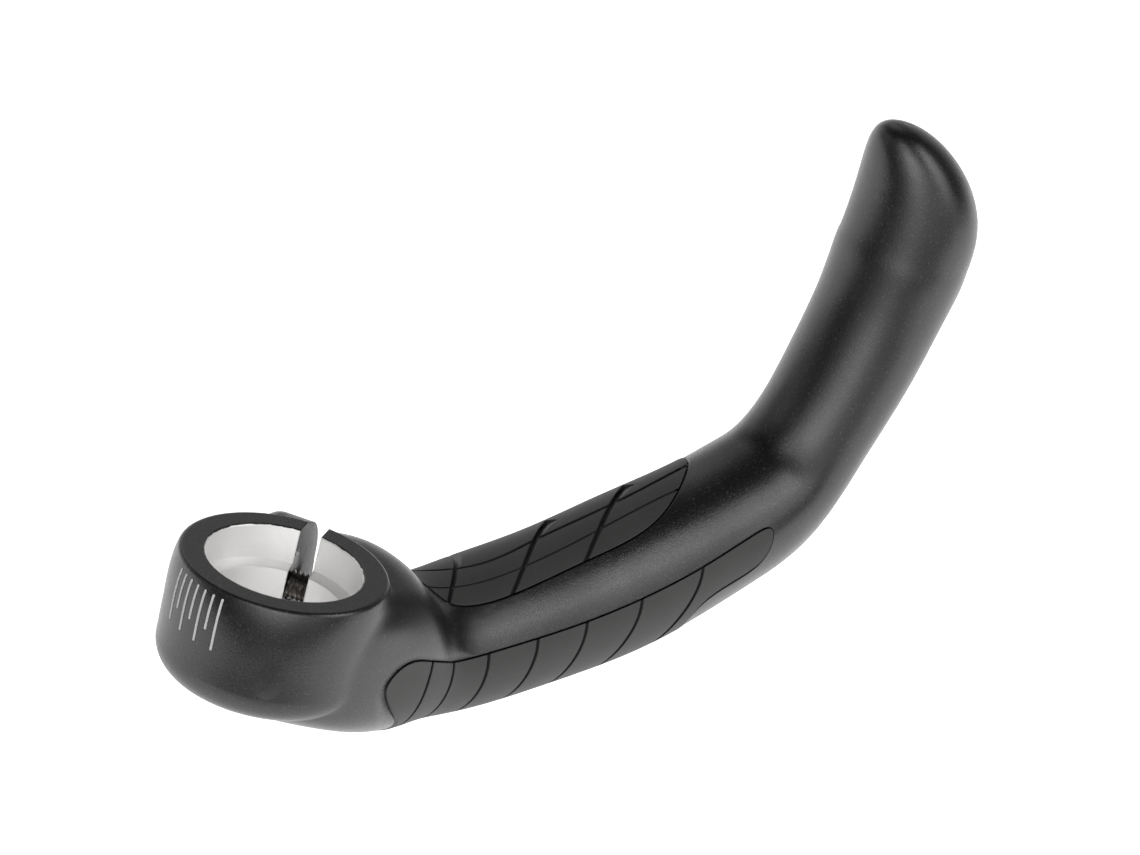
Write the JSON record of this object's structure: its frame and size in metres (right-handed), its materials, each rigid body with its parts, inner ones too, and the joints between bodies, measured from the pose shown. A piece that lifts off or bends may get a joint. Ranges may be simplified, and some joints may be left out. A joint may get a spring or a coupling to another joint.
{
  "type": "bicycle bar end",
  "caption": "L-bent handlebar extension for a bicycle: a split clamp that grips a bar's end, with an ergonomic oval horn and inlaid rubber grip pads.",
  "frame": {"origin": "on the handlebar's axis, at the middle of the clamp's height", "axes": "+Z along the handlebar toward its middle, +X the way the horn leaves the clamp, +Y the side with the slit and the bolt"},
  "size_m": [0.1604, 0.0391, 0.0974],
  "materials": {
    "black_body": "satin",
    "pad_rubber": "matt",
    "black_steel": "satin",
    "white_print": "matt"
  },
  "bodies": {
    "bar_end": {"clamp_and_horn": "black_body", "upper_grip_pad": "pad_rubber", "lower_grip_pad": "pad_rubber", "scale_marks": "white_print"},
    "bolt": {"clamp_bolt": "black_steel"}
  },
  "joints": [
    {"name": "bolt_turn", "type": "hinge", "parent": "bar_end", "child": "bolt", "pos_m": [0.01264, 0.0076, 0], "axis": [-0.515, 0.8572, 0], "range_deg": [0, 360]}
  ]
}
